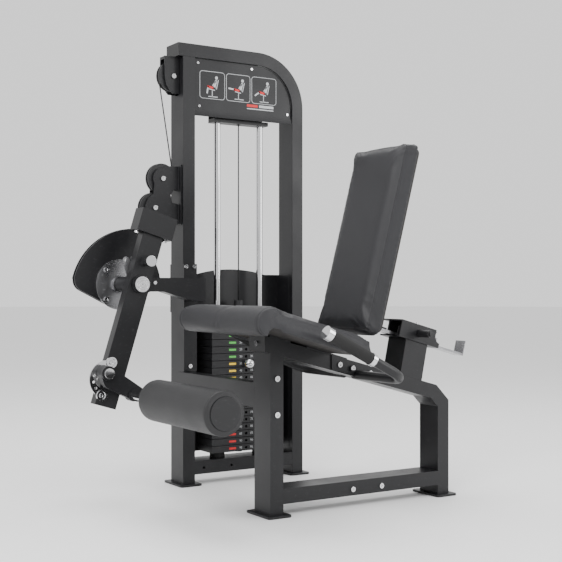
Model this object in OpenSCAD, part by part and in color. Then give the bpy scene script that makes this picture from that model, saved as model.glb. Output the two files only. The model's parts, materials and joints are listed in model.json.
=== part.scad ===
// Seated leg extension machine with a weight stack.
// X runs along the machine, from the foot roller (-X) to the backrest (+X).
// Y runs from the seat (-Y) to the weight tower (+Y), and Z is up from the floor.
// The floor plan below is drawn from the tower's front left corner, and on_plan() then moves it
// so that the origin lies on the floor under the middle of the machine.

/* [Tower] */
// Height of the tower
tower_h = 1660; // [1640:1:1700]
// Width over the two uprights
tower_w = 535; // [530:1:560]
// Width of a frame tube, seen from the front
tube_w = 50; // [48:1:52]
// Depth of a frame tube
tube_d = 100; // [96:1:104]
// Wall of the frame tubes
wall = 3; // [2:0.5:4]

/* [Weight stack] */
// Thickness of one weight plate
plate_t = 25; // [24:0.5:26]
// Spacing of the weight plates
plate_pitch = 27; // [27:0.5:28]
// Weight plates that stay down below the selector pin
plates_down = 12; // [8:1:14]
// Weight plates above the pin, which the cable lifts
plates_up = 7; // [5:1:7]
// Diameter of the guide rods
rod_d = 25; // [22:1:25]

/* [Lever] */
// Tilt of the lever at rest, its foot toward -X
lever_tilt = 17; // [14:0.5:20]
// Radius of the cam's groove floor
cam_r = 160; // [156:1:161]
// Diameter of the steel cable
cable_d = 5; // [4:0.5:5]
// Diameter of a cable pulley
pulley_d = 114; // [110:1:114]

/* [Seat] */
// Width of the seat cushion
seat_w = 540; // [500:5:550]
// Width of the backrest cushion
back_w = 325; // [300:5:340]
// Length of the backrest cushion
back_l = 680; // [640:5:690]
// Slope of the seat beam
beam_tilt = 15; // [14:0.5:16]

/* [Hidden] */
$fn = 64;

black = [0.07, 0.07, 0.075];
nylon = [0.04, 0.04, 0.04];
chrome = [0.8, 0.8, 0.82];
vinyl = [0.1, 0.1, 0.105];
rubber = [0.05, 0.05, 0.05];
steel = [0.6, 0.61, 0.63];
wood = [0.5, 0.38, 0.24];
eps = 0.5;

// Middle of the machine's box, measured on the floor plan
middle_x = 203.8;
middle_y = -406;

// Tower
foot_t = 8;
foot_w = 90;
foot_l = 150;
foot_r = 12;
header_over = 17;
bend_r = 155;
header_z = tower_h - tube_w;
bend_x = tower_w - tube_w - bend_r;
bend_z = header_z - bend_r;
rail_z = 40;
mid_x = tower_w / 2;
mid_y = tube_d / 2;
rod_gap = 95;
stack_z = 115;
stack_w = 300;
stack_y0 = -10;
stack_y1 = 110;
rod_top = 1379;
rod_bridge_z = 1440;
rod_plate_x = [147, 388];
pin_row_z = stack_z + plate_t / 2;
top_plate_t = 30;
top_plate_z = stack_z + plate_pitch * (plates_down + plates_up);
pin_z = pin_row_z + plate_pitch * plates_down;
spare_hole_x = [88.6, 208.6];
spare_hole_z = 63;
spare_hole_r = 5;

// Cable and pulleys, all on the plane Y = mid_y
pulley_r = pulley_d / 2;
groove_r = 50;
lay_r = groove_r + cable_d / 2;
side_c = [-25, 1536];
upper_c = [-69, 1150];
lower_c = [-101, 1040];
centre_c = [mid_x - lay_r, 1536];
pulley_w = 22;
pulley_pin_r = 5;

// Pivot
pivot = [-242, 755];
shaft_r = 15;
bearing_r = 23.5;
bearing_w = 9;
housing_r = 28;
housing_y0 = -92;
housing_y1 = 15;
arm_y0 = -84;
arm_y1 = -34;
cam_y0 = 38;
cam_y1 = 62;
lay_cam_r = cam_r + cable_d / 2;

// Lever, in its own axes: x across, z up along the lever
lever_w = 80;
lever_t = 40;
lever_y0 = -140;
lever_foot = -440;
lever_head = 255;
pin_reach = 85;
sector_c = [-22, -349];
sector_r = 66;
sector_inner_r = 40;
sector_t = 5.5;
sector_eyes = [[-25, -290], [-27, -408]];
eye_r = 19;
eye_h = 10;
hub = [-44, -331];
hub_r = 25;
hub_shaft_r = 10;
weight_z = [181, 262];
weight_w = 140;

// Foot roller, on the floor plan
roller_c = [-287, 371];
roller_r = 75;
roller_l = 470;
roller_mid_y = -600;

// Seat frame
seat_mid_y = -600;
seat_y0 = seat_mid_y - tube_d / 2;
seat_y1 = seat_mid_y + tube_d / 2;
front_x = -18;
rear_x = 684;
beam_x0 = -36;
knee = [678, 397];
knee_low = [rear_x + tube_w, 397 - (rear_x + tube_w - 678)];
slope = tan(beam_tilt);

function beam_top(x) = knee[1] + (knee[0] - x) * slope;
function beam_bottom(x) = beam_top(x) - tube_w / cos(beam_tilt);

// A point moved in by d from a corner between two edges with inward normals a and b
function inset(p, a, b, d) = p + d * (a + b) / (1 + a * b);
n_beam = [-sin(beam_tilt), -cos(beam_tilt)];
n_knee = [-sin(45), -cos(45)];
n_leg = [-1, 0];
function frame_line(d, x0, z1) = [
    [x0, beam_top(x0) - d / cos(beam_tilt)],
    inset(knee, n_beam, n_knee, d),
    inset(knee_low, n_knee, n_leg, d),
    [knee_low[0] - d, z1]];
function reversed(a) = [for (i = [len(a) - 1:-1:0]) a[i]];

// Arc points about c, from angle a0 to a1
function arc(c, r, a0, a1, n) =
    [for (i = [0:n]) c + r * [cos(a0 + (a1 - a0) * i / n), sin(a0 + (a1 - a0) * i / n)]];
// Angle at c1 of the tangent that crosses between two circles, on the side given by s
function cross_angle(c1, c2, r1, r2, s) =
    atan2(c2[1] - c1[1], c2[0] - c1[0]) + s * acos((r1 + r2) / norm(c2 - c1));
a_side = cross_angle(side_c, upper_c, lay_r, lay_r, -1);
a_twin = cross_angle(upper_c, lower_c, lay_r, lay_r, 1);
a_cam = cross_angle(pivot, lower_c, lay_cam_r, lay_r, -1);
cam_anchor_a = 4;
wrap_n = 7;
cable_low_z = 640;
cable_route = concat(
    [[mid_x, cable_low_z], [mid_x, 1000]],
    arc(centre_c, lay_r, 0, 90, wrap_n),
    arc(side_c, lay_r, 90, a_side + 360, wrap_n),
    arc(upper_c, lay_r, a_side + 180, a_twin, wrap_n),
    arc(lower_c, lay_r, a_twin + 180, a_cam + 180, wrap_n),
    [pivot + lay_cam_r * [cos(a_cam), sin(a_cam)]]);

module on_plan() translate([-middle_x, -middle_y, 0]) children();
// Extrudes an outline drawn in X and Z from y0 to y1
module xz(y0, y1) translate([0, y1, 0]) rotate([90, 0, 0]) linear_extrude(y1 - y0) children();
module rod_y(c, r, y0, y1) translate([c[0], y0, c[1]]) rotate([-90, 0, 0]) cylinder(r = r, h = y1 - y0);
module rod_z(x, y, r, z0, z1) translate([x, y, z0]) cylinder(r = r, h = z1 - z0);
module rod_x(y, z, r, x0, x1) translate([x0, y, z]) rotate([0, 90, 0]) cylinder(r = r, h = x1 - x0);
module box(a, b) translate(a) cube(b - a);
module rounded(w, l, r) {
    square([w - 2 * r, l], center = true);
    square([w, l - 2 * r], center = true);
    for (x = [-1, 1])
        for (y = [-1, 1])
            translate([x * (w / 2 - r), y * (l / 2 - r)]) circle(r);
}
module on_lever() on_plan() translate([pivot[0], 0, pivot[1]]) rotate([0, lever_tilt, 0]) children();
// Hexagon socket screw with its head toward -Y, under the head at y
module screw_y(c, y, head_r, head_h, shank_r, reach) {
    difference() {
        rod_y(c, head_r, y - head_h, y);
        translate([c[0], y - head_h - eps, c[1]]) rotate([-90, 0, 0])
            cylinder(r = head_r * 0.45, h = head_h * 0.6 + eps, $fn = 6);
    }
    rod_y(c, shank_r, y - eps, y + reach);
}

// ---- tower ----
module left_upright() color(black) on_plan() difference() {
    box([0, 0, foot_t], [tube_w, tube_d, header_z]);
    box([wall, wall, 0], [tube_w - wall, tube_d - wall, header_z - wall]);
    // pulley window and cable slot
    box([-eps, mid_y - 15, 1468], [wall + eps, mid_y + 15, 1604]);
    box([tube_w - wall - eps, mid_y - 8, 1578], [tube_w + eps, mid_y + 8, 1600]);
    for (c = column_bolts) rod_y(c, column_bolt_r, -eps, tube_d + eps);
}

// Header and right upright, one tube bent through a quarter turn
module bent_upright() color(black) on_plan() difference() {
    bent_tube_outside();
    bent_tube_void();
}
module bent_tube_outside() {
    box([-header_over, 0, header_z], [bend_x, tube_d, tower_h]);
    box([bend_x + bend_r, 0, foot_t], [tower_w, tube_d, bend_z]);
    translate([bend_x, tube_d, bend_z]) rotate([90, 0, 0]) rotate_extrude(angle = 90, $fn = 96)
        translate([bend_r, 0]) square([tube_w, tube_d]);
}
module bent_tube_void() {
    box([-header_over - eps, wall, header_z + wall], [bend_x, tube_d - wall, tower_h - wall]);
    box([tower_w - tube_w + wall, wall, 0], [tower_w - wall, tube_d - wall, bend_z]);
    translate([bend_x, tube_d - wall, bend_z]) rotate([90, 0, 0]) rotate_extrude(angle = 90, $fn = 96)
        translate([bend_r + wall, 0]) square([tube_w - 2 * wall, tube_d - 2 * wall]);
}

module base_crossbeam() color(black) on_plan() difference() {
    box([tube_w, 0, rail_z], [tower_w - tube_w, tube_d, rail_z + tube_w]);
    box([tube_w + wall, wall, rail_z + wall],
        [tower_w - tube_w - wall, tube_d - wall, rail_z + tube_w - wall]);
    for (x = spare_hole_x) rod_y([x, spare_hole_z], spare_hole_r, -eps, wall + eps);
}

module foot(x, y) translate([x, y, 0]) linear_extrude(foot_t) rounded(foot_w, foot_l, foot_r);
module foot_plates() color(black) on_plan() {
    foot(tube_w / 2, mid_y);
    foot(tower_w - tube_w / 2, mid_y);
    foot(front_x + tube_w / 2, seat_mid_y);
    foot(rear_x + tube_w / 2, seat_mid_y);
}

cap_t = 2.5;
module tube_end_caps() color(nylon) on_plan() {
    box([-header_over - cap_t, 0, header_z], [-header_over, tube_d, tower_h]);
    box([-header_over, wall, header_z + wall], [-header_over + 18, tube_d - wall, tower_h - wall]);
    xz(seat_y0, seat_y1) polygon([[beam_x0 - cap_t, beam_top(beam_x0 - cap_t)], [beam_x0, beam_top(beam_x0)],
        [beam_x0, beam_bottom(beam_x0)], [beam_x0 - cap_t, beam_bottom(beam_x0 - cap_t)]]);
}

// Sheet between the uprights with its lower lip folded back
sign_y = 8;
sign_t = 2;
sign_bottom = 1422;
sign_lip = 30;
sign_lip_a = 12;
module sign_outline(x0, x1, z0) {
    translate([x0, z0]) square([bend_x - x0, header_z - z0]);
    translate([x0, z0]) square([x1 - x0, bend_z - z0]);
    intersection() {
        translate([bend_x, bend_z]) circle(bend_r - 1.5, $fn = 96);
        translate([bend_x - eps, bend_z - eps]) square([bend_r, bend_r]);
    }
}
module sign_panel() color(black) on_plan() {
    xz(sign_y, sign_y + sign_t) sign_outline(tube_w, tower_w - tube_w, sign_bottom);
    // lower lip leans back under the panel
    translate([tube_w + 1, sign_y, sign_bottom]) rotate([-sign_lip_a, 0, 0]) translate([0, 0, -sign_lip])
        cube([tower_w - 2 * tube_w - 2, sign_t, sign_lip + 1]);
    // folded side tabs against the uprights
    box([tube_w, sign_y + sign_t, sign_bottom + 8], [tube_w + sign_t, sign_y + 16, header_z - 20]);
    box([tower_w - tube_w - sign_t, sign_y + sign_t, sign_bottom + 4],
        [tower_w - tube_w, sign_y + 16, bend_z - 4]);
}

// Clamp bar for the rod tops, hung from a bridge between the uprights behind the sign
rod_bar_h = 15;
rod_web_t = 5;
rod_bar_half = 25;
module rod_bracket() color(black) on_plan() difference() {
    union() {
        box([rod_plate_x[0], mid_y - rod_bar_half, rod_top],
            [rod_plate_x[1], mid_y + rod_bar_half, rod_top + rod_bar_h]);
        box([rod_plate_x[0], mid_y + rod_bar_half - rod_web_t, rod_top],
            [rod_plate_x[1], mid_y + rod_bar_half, rod_bridge_z + rod_web_t]);
        box([tube_w, mid_y - rod_bar_half, rod_bridge_z],
            [tower_w - tube_w, mid_y + rod_bar_half, rod_bridge_z + rod_web_t]);
    }
    for (s = [-1, 1]) rod_z(mid_x + s * rod_gap, mid_y, rod_d / 2, rod_top - eps, rod_top + rod_bar_h - 3);
    rod_z(mid_x, mid_y, 9, rod_top - eps, rod_bridge_z + rod_web_t + eps);
}

module guide_rods() color(chrome) on_plan()
    for (s = [-1, 1]) rod_z(mid_x + s * rod_gap, mid_y, rod_d / 2, rail_z + tube_w, rod_top + rod_bar_h - 3);

module rod_bumpers() color(rubber) on_plan()
    for (s = [-1, 1]) difference() {
        rod_z(mid_x + s * rod_gap, mid_y, 29, rail_z + tube_w, stack_z - 0.2);
        rod_z(mid_x + s * rod_gap, mid_y, rod_d / 2, rail_z, stack_z + eps);
    }

// Sheet guard behind the stack, with an arched top edge and side flanges
guard_y = 112;
guard_t = 1.5;
guard_top = 795;
guard_rise = 21;
guard_half = (tower_w - 2 * tube_w) / 2 - 60;
guard_arc_r = (guard_half * guard_half + guard_rise * guard_rise) / (2 * guard_rise);
module rear_guard() color(black) on_plan() {
    xz(guard_y, guard_y + guard_t) union() {
        translate([tube_w, stack_z - 5]) square([tower_w - 2 * tube_w, guard_top - stack_z + 5]);
        intersection() {
            translate([mid_x, guard_top + guard_rise - guard_arc_r]) circle(guard_arc_r, $fn = 256);
            translate([mid_x - guard_half, guard_top - eps]) square([2 * guard_half, guard_rise + 5]);
        }
    }
    for (x = [tube_w, tower_w - tube_w - guard_t])
        box([x, 22, stack_z - 5], [x + guard_t, guard_y + guard_t, guard_top]);
}

// ---- weight stack ----
module weight_plate(z, t) difference() {
    box([mid_x - stack_w / 2, stack_y0, z], [mid_x + stack_w / 2, stack_y1, z + t]);
    for (s = [-1, 1]) rod_z(mid_x + s * rod_gap, mid_y, rod_d / 2 + rod_clear, z - eps, z + t + eps);
    rod_z(mid_x, mid_y, rod_core_r + 2, z - eps, z + t + eps);
    rod_y([mid_x, z + plate_t / 2], pin_hole_r, stack_y0 - eps, mid_y);
}
module lower_plates() color(steel * 0.4) on_plan()
    for (i = [0:plates_down - 1]) weight_plate(stack_z + i * plate_pitch, plate_t);
module lifted_plates() color(steel * 0.4) on_plan()
    for (i = [plates_down:plates_down + plates_up - 1]) weight_plate(stack_z + i * plate_pitch, plate_t);

// Top plate, its rod through the stack and the cable socket on top
rod_core_r = 14;
rod_clear = 1.5;
pin_hole_r = 5.5;
socket_h = 36;
head_z = top_plate_z + top_plate_t;
module selector_rod() color(steel * 0.5) on_plan() difference() {
    union() {
        difference() {
            box([mid_x - stack_w / 2, stack_y0, top_plate_z], [mid_x + stack_w / 2, stack_y1, head_z]);
            for (s = [-1, 1])
                rod_z(mid_x + s * rod_gap, mid_y, rod_d / 2 + rod_clear, top_plate_z - eps, head_z + eps);
        }
        rod_z(mid_x, mid_y, rod_core_r, stack_z - 10, top_plate_z + eps);
        rod_z(mid_x, mid_y, 18, head_z - eps, head_z + socket_h);
        for (s = [-1, 1]) rod_z(mid_x + s * 48, mid_y - 30, 7, head_z - eps, head_z + 9);
    }
    rod_z(mid_x, mid_y, cable_d / 2 + rod_clear, cable_low_z - 300, head_z + socket_h + eps);
    for (i = [0:plates_down + plates_up - 1])
        rod_y([mid_x, pin_row_z + i * plate_pitch], pin_hole_r, mid_y - 20, mid_y + 20);
    rod_y([mid_x, top_plate_z + top_plate_t / 2], pin_hole_r, stack_y0 - eps, mid_y);
}

ball_r = 20;
ball_y = -33;
module selector_pin() color(chrome) on_plan() {
    translate([mid_x, ball_y, pin_z]) sphere(ball_r);
    rod_y([mid_x, pin_z], 8, ball_y, stack_y0 - 0.5);
    // stops short of the cable inside the rod
    rod_y([mid_x, pin_z], 5, ball_y, mid_y - 4);
}

// ---- pivot bracket ----
column_bolts = [[8.5, 822], [41.5, 822], [24.5, 450]];
column_bolt_r = 4;
column_plate_z = [430, 832];
module column_plates() color(black) on_plan() difference() {
    union() {
        box([0, -8, column_plate_z[0]], [54, 0, column_plate_z[1]]);
        box([0, tube_d, 650], [tube_w, tube_d + 8, column_plate_z[1]]);
    }
    for (c = column_bolts) rod_y(c, column_bolt_r, -8 - eps, tube_d + 8 + eps);
}

arm_top = 779;
arm_low = 729;
module arm_outline(m) polygon([
    [pivot[0] + m, arm_top - m], [tube_w - m, arm_top - m], [tube_w - m, 692 + m],
    [-19.5, 699 + m], [-121, arm_low + m], [pivot[0] + m, arm_low + m]]);
stop_c = [-157, 773];
module pivot_arm() color(black) on_plan() difference() {
    union() {
        difference() {
            xz(arm_y0, arm_y1) arm_outline(0);
            xz(arm_y0 + 4, arm_y1 + eps) arm_outline(4);
        }
        // welded web to the column plate, and the shaft housing
        box([0, arm_y1 - 4, 700], [tube_w, -8, arm_top]);
        rod_y(pivot, housing_r, housing_y0, housing_y1);
        rod_y([stop_c[0], stop_c[1] - 12], 9, arm_y0, arm_y1);
    }
    rod_y(pivot, bearing_r, housing_y0 - eps, housing_y1 + eps);
    rod_y([stop_c[0], stop_c[1] - 12], 4, arm_y0 - eps, arm_y1 + eps);
}

module pivot_bearings() color(steel) on_plan() for (y = [housing_y0 + 1, housing_y1 - 1 - bearing_w])
    difference() {
        rod_y(pivot, bearing_r, y, y + bearing_w);
        rod_y(pivot, shaft_r + 0.05, y - eps, y + bearing_w + eps);
    }

module stop_buffer() color(chrome) on_plan() translate([0, 0, -12]) {
    rod_y(stop_c, 7, arm_y0 - 6, arm_y0);
    rod_y(stop_c, 4, arm_y0 - 6, arm_y1);
}

// ---- pulley brackets ----
cheek_y = [mid_y - 20, mid_y + 16];
cheek_t = 4;
module cheek_pair() for (y = cheek_y) xz(y, y + cheek_t) children();
module side_pulley_bracket() color(black) on_plan() difference() {
    union() {
        // side plates under the header's overhang, joined above the wheel
        cheek_pair() union() {
            polygon([[-62, 1610], [-1, 1610], [-1, 1471], [-30, 1471], [-55, 1500], [-62, 1536]]);
            translate(side_c) circle(37);
        }
        box([-62, cheek_y[0] + cheek_t, 1598], [-1, cheek_y[1], 1609]);
    }
    rod_y(side_c, pulley_pin_r, 0, tube_d);
    // clear of the upright beside it
    box([-1, 0, 1400], [tube_w, tube_d, 1640]);
}

module twin_pulley_bracket() color(black) on_plan() difference() {
    union() {
        cheek_pair() union() {
            polygon([[-69, 1190], [-40, 1198], [-4, 1198], [-4, 1112], [-25, 1108], [-36, 1090],
                [-30, 1062], [-4, 1056], [-4, 984], [-40, 984], [-75, 1004], [-101, 1002],
                [-139, 1052], [-128, 1076], [-106, 1092], [-104, 1130], [-109, 1150]]);
            translate(upper_c) circle(40);
            translate(lower_c) circle(40);
        }
        box([-4, 10, 980], [-0.01, tube_d - 10, 1204]);
    }
    for (c = [upper_c, lower_c]) rod_y(c, pulley_pin_r, 0, tube_d);
}

module centre_pulley_bracket() color(black) on_plan() difference() {
    union() {
        cheek_pair() union() {
            translate([centre_c[0] - 30, 1536]) square([60, header_z - 1536]);
            translate(centre_c) circle(30);
        }
        box([centre_c[0] - 30, cheek_y[0] + cheek_t, header_z - 6],
            [centre_c[0] + 30, cheek_y[1], header_z]);
    }
    rod_y(centre_c, pulley_pin_r, 0, tube_d);
}

module pulley_bolts() color(chrome) on_plan() for (c = [side_c, upper_c, lower_c, centre_c]) {
    screw_y(c, cheek_y[0], 9, 6, pulley_pin_r, cheek_y[1] + cheek_t - cheek_y[0]);
    rod_y(c, 8, cheek_y[1] + cheek_t, cheek_y[1] + cheek_t + 7);
}

// Nylon cable wheel with a round groove and curved lightening slots
slot_a = 72;
module cable_wheel(c, phase) color(nylon) on_plan() translate([c[0], mid_y, c[1]]) rotate([90, phase, 0])
    difference() {
        cylinder(r = pulley_r, h = pulley_w, center = true);
        rotate_extrude() difference() {
            translate([groove_r - 0.5, -5]) square([20, 10]);
            translate([groove_r - 0.5 - 0.01, -5.01]) square([0.02, 0.02]);
        }
        cylinder(r = pulley_pin_r + 0.05, h = pulley_w + 1, center = true);
        for (i = [0:2]) rotate(i * 120) rotate_extrude(angle = slot_a)
            translate([22, -pulley_w / 2 - eps]) square([14, pulley_w + 2 * eps]);
    }
module side_pulley() cable_wheel(side_c, 0);
module upper_twin_pulley() cable_wheel(upper_c, 20);
module lower_twin_pulley() cable_wheel(lower_c, 50);
module centre_pulley() cable_wheel(centre_c, 0);

// Cable swept along its route as an eight-sided tube
sides = 8;
function unit(v) = v / norm(v);
function heading(p, i) = unit(p[min(i + 1, len(p) - 1)] - p[max(i - 1, 0)]);
function ring(p, i) = let (t = heading(p, i))
    [for (k = [0:sides - 1]) [
        p[i][0] - t[1] * cable_d / 2 * cos(k * 360 / sides),
        mid_y + cable_d / 2 * sin(k * 360 / sides),
        p[i][1] + t[0] * cable_d / 2 * cos(k * 360 / sides)]];
module cable_tube(p) polyhedron(
    points = [for (i = [0:len(p) - 1]) each ring(p, i)],
    faces = concat(
        [[for (k = [0:sides - 1]) k]],
        [for (i = [0:len(p) - 2]) for (k = [0:sides - 1])
            [i * sides + k, (i + 1) * sides + k,
                (i + 1) * sides + (k + 1) % sides, i * sides + (k + 1) % sides]],
        [[for (k = [sides - 1:-1:0]) (len(p) - 1) * sides + k]]));
module upper_cable() color(nylon) on_plan() cable_tube(cable_route);

// ---- cam and shaft ----
rim_c = [63, -36.5];
rim_r = 242;
cheek_r = 167;
toe_c = [-129, 15];
toe_r = 41;
module cam_outline() polygon(concat(
    arc([0, 0], cheek_r, 0, 50, 12),
    arc(rim_c, rim_r, 80, 166, 40),
    arc(toe_c, toe_r, 176, 242, 8),
    [[-43, -74.6], [-20, -79], [20, -76], [110, -32], [152, -18]]));
module on_pivot() on_plan() translate([pivot[0], 0, pivot[1]]) children();
cam_bolt_gap = 53;
cam_cheek_t = 6;
module cam() color(black) on_pivot() difference() {
    union() {
        xz(cam_y0, cam_y0 + cam_cheek_t) cam_outline();
        xz(cam_y1 - cam_cheek_t, cam_y1) cam_outline();
        xz(cam_y0, cam_y1) polygon(concat([[0, 0]], arc([0, 0], cam_r - 0.4, -5, a_cam + 95, 48)));
        rod_y([0, 0], 60, cam_y0, cam_y1);
    }
    rod_y([0, 0], shaft_r, cam_y0 - eps, cam_y1 + eps);
    for (x = [-1, 1])
        for (z = [-1, 1])
            rod_y([x * cam_bolt_gap, z * cam_bolt_gap], 5, cam_y0 - eps, cam_y1 + eps);
    // seat of the cable anchor screw
    rod_y([lay_cam_r, 0], 7.05, cam_y0 + cam_cheek_t, cam_y1 - cam_cheek_t);
}

flange_r = 92;
flange_t = 8;
module pivot_shaft() color(steel) on_pivot() difference() {
    union() {
        rod_y([0, 0], shaft_r, -152, cam_y1 + 8);
        rod_y([0, 0], flange_r, cam_y0 - flange_t, cam_y0);
        rod_y([0, 0], 32, housing_y1 + 1, cam_y0);
    }
    for (x = [-1, 1])
        for (z = [-1, 1])
            rod_y([x * cam_bolt_gap, z * cam_bolt_gap], 5, 0, cam_y0 + eps);
}

quadrant_y = [-98, -93.5];
quadrant_r = 98;
quadrant_half = 26;
quadrant_a = 90 - lever_tilt;
quadrant_eye = [-32, 85];
// Sector with the start holes for the lever's pull pin
module start_quadrant() color(steel) on_pivot() difference() {
    xz(quadrant_y[0], quadrant_y[1]) union() {
        circle(26);
        link([0, 0], 20, quadrant_eye, 13);
        polygon(concat([[0, 0]],
            arc([0, 0], quadrant_r, quadrant_a - quadrant_half, quadrant_a + quadrant_half, 12)));
    }
    rod_y([0, 0], shaft_r, quadrant_y[0] - eps, quadrant_y[1] + eps);
    rod_y(quadrant_eye, 7, quadrant_y[0] - eps, quadrant_y[1] + eps);
    for (a = [-20:10:20])
        rod_y(pin_reach * [sin(lever_tilt + a), cos(lever_tilt + a)], 5.2,
            quadrant_y[0] - eps, quadrant_y[1] + eps);
}

cap_r = 27.5;
module pivot_cap() color(chrome) on_pivot() difference() {
    rod_y([0, 0], cap_r, -165, -152);
    for (r = [12, 20]) difference() {
        rod_y([0, 0], r + 1, -166, -164);
        rod_y([0, 0], r - 1, -167, -163);
    }
    rod_y([0, 0], 3, -166, -160);
}

module cam_bolts() color(chrome) on_pivot() {
    for (x = [-1, 1])
        for (z = [-1, 1])
            screw_y([x * cam_bolt_gap, z * cam_bolt_gap], cam_y0 - flange_t, 9, 7, 5,
                cam_y1 - cam_y0 + flange_t);
    // plug in the quadrant's eye, and the cable anchor screw between the cheeks
    rod_y(quadrant_eye, 6.9, quadrant_y[0] - 0.5, quadrant_y[1]);
    rod_y([lay_cam_r, 0], 7, cam_y0 + cam_cheek_t, cam_y1 - cam_cheek_t);
}
module cam_cable() color(nylon) on_pivot() translate([0, mid_y, 0]) rotate([90, 0, 0])
    rotate([0, 0, cam_anchor_a]) rotate_extrude(angle = a_cam - cam_anchor_a)
        translate([lay_cam_r, 0]) circle(cable_d / 2, $fn = 32);

// ---- lever ----
lever_y1 = lever_y0 + lever_t;
module lever() color(black) on_lever() difference() {
    union() {
        difference() {
            box([-lever_w / 2, lever_y0, lever_foot], [lever_w / 2, lever_y1, lever_head]);
            box([-lever_w / 2 + wall, lever_y0 + wall, lever_foot - eps],
                [lever_w / 2 - wall, lever_y1 - wall, lever_head + eps]);
        }
        rod_y([0, 0], 31, lever_y0 - 10, lever_y1);
        rod_y([0, pin_reach], 12, lever_y0, lever_y1);
        // boss for the roller arm, welded to the lever's rear edge
        rod_y(hub, hub_r - 3, lever_y0, lever_y1);
        // plug that closes the foot
        box([-lever_w / 2, lever_y0, lever_foot - 2], [lever_w / 2, lever_y1, lever_foot]);
    }
    rod_y([0, 0], shaft_r + 0.05, lever_y0 - 20, lever_y1 + eps);
    rod_y([0, pin_reach], 5.1, lever_y0 - eps, lever_y1 + eps);
    rod_y(hub, hub_shaft_r + 0.05, lever_y0 - eps, lever_y1 + eps);
    for (c = sector_eyes) rod_y(c, 5, lever_y0 - eps, lever_y0 + 12);
}

weight_y = [-152, -88];
module counterweight() color(black) on_lever() difference() {
    box([-weight_w / 2, weight_y[0], weight_z[0]], [weight_w / 2, weight_y[1], weight_z[1]]);
    box([-lever_w / 2, lever_y0, weight_z[0] - eps], [lever_w / 2, lever_y1, lever_head]);
}

// Adjuster sector around the roller arm's hub, with an eye at each end
sector_hole_r = 4.5;
sector_hole_ring = 52;
module sector_plate() color(chrome) on_lever() difference() {
    union() {
        xz(lever_y0 - sector_t, lever_y0) difference() {
            union() {
                intersection() {
                    translate(sector_c) circle(sector_r);
                    translate(sector_c + [-80, -80]) square([80, 160]);
                }
                for (c = sector_eyes) translate(c) circle(eye_r);
            }
            translate(sector_c) circle(sector_inner_r);
        }
        for (c = sector_eyes) rod_y(c, eye_r, lever_y0 - eye_h, lever_y0);
    }
    for (c = sector_eyes) {
        rod_y(c, 13.5, lever_y0 - eye_h - eps, lever_y0 - 5);
        rod_y(c, 5, lever_y0 - eye_h, lever_y0 + eps);
    }
    for (a = [180:25:230])
        rod_y(sector_c + sector_hole_ring * [cos(a), sin(a)], sector_hole_r, lever_y0 - 8, lever_y0 + eps);
    rod_y(hub, hub_r + 1, lever_y0 - eye_h - 1, lever_y0 + eps);
}

module lever_bolts() color(chrome) on_lever() {
    for (c = sector_eyes) screw_y(c, lever_y0 - 5, 8, 4.5, 5, 15);
    // clamp screws under the counterweight
    for (x = [-1, 1]) rod_z(x * 56, (weight_y[0] + weight_y[1]) / 2, 9, weight_z[0] - 9, weight_z[0]);
}

knob_r = 19.5;
module lever_pull_pin() color(chrome) on_lever() {
    rod_y([0, pin_reach], knob_r, -185, -160);
    rod_y([0, pin_reach], 13, -160, lever_y0 - 0.5);
    rod_y([0, pin_reach], 5, -160, quadrant_y[0] - 0.4);
}

// ---- roller arm and roller ----
hub_w = [pivot[0] + hub[0] * cos(lever_tilt) + hub[1] * sin(lever_tilt),
    pivot[1] - hub[0] * sin(lever_tilt) + hub[1] * cos(lever_tilt)];
band_y = [-186, -157];
band_from = [-366, 427];
band_to = [-270, 374.7];
axle_r = 12.5;
hub_front = -202;
// Flat outline around two circles
module link(a, ra, b, rb) {
    d = atan2(b[1] - a[1], b[0] - a[0]);
    t = acos((ra - rb) / norm(b - a));
    translate(a) circle(ra);
    translate(b) circle(rb);
    polygon([a + ra * [cos(d + t), sin(d + t)], a + ra * [cos(d - t), sin(d - t)],
        b + rb * [cos(d - t), sin(d - t)], b + rb * [cos(d + t), sin(d + t)]]);
}
module roller_arm() color(black) on_plan() difference() {
    union() {
        xz(band_y[0], band_y[1]) union() {
            link(hub_w, hub_r, band_to, 26);
            link(hub_w, hub_r, band_from, 31);
            link(band_from, 31, band_to, 26);
        }
        rod_y(roller_c, 20, band_y[0] - 4, band_y[1]);
        rod_y(hub_w, hub_r, hub_front + 7, lever_y0 - 0.5);
    }
    rod_y(roller_c, axle_r, band_y[0] - 4 - eps, band_y[1] + eps);
    rod_y(hub_w, hub_shaft_r, hub_front, lever_y0);
}

module roller_axle() color(chrome) on_plan() {
    rod_y(roller_c, axle_r, roller_mid_y - roller_l / 2 + 6, band_y[1]);
    rod_y(hub_w, hub_shaft_r, hub_front + 7, lever_y1);
    rod_y(hub_w, 18.5, hub_front, hub_front + 7);
}

foam_bore_r = 14;
roller_edge = 6;
module roller_foam() color(vinyl) on_plan() difference() {
    translate([roller_c[0], roller_mid_y + roller_l / 2, roller_c[1]]) rotate([90, 0, 0])
        rotate_extrude() polygon([[0, 0], [roller_r - roller_edge, 0], [roller_r, roller_edge],
            [roller_r, roller_l - roller_edge], [roller_r - roller_edge, roller_l], [0, roller_l]]);
    rod_y(roller_c, foam_bore_r + 4, -900, -300);
    rod_y(roller_c, 52, roller_mid_y - roller_l / 2 - eps, roller_mid_y - roller_l / 2 + 6);
    rod_y(roller_c, 52, roller_mid_y + roller_l / 2 - 6, roller_mid_y + roller_l / 2 + eps);
}

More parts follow.
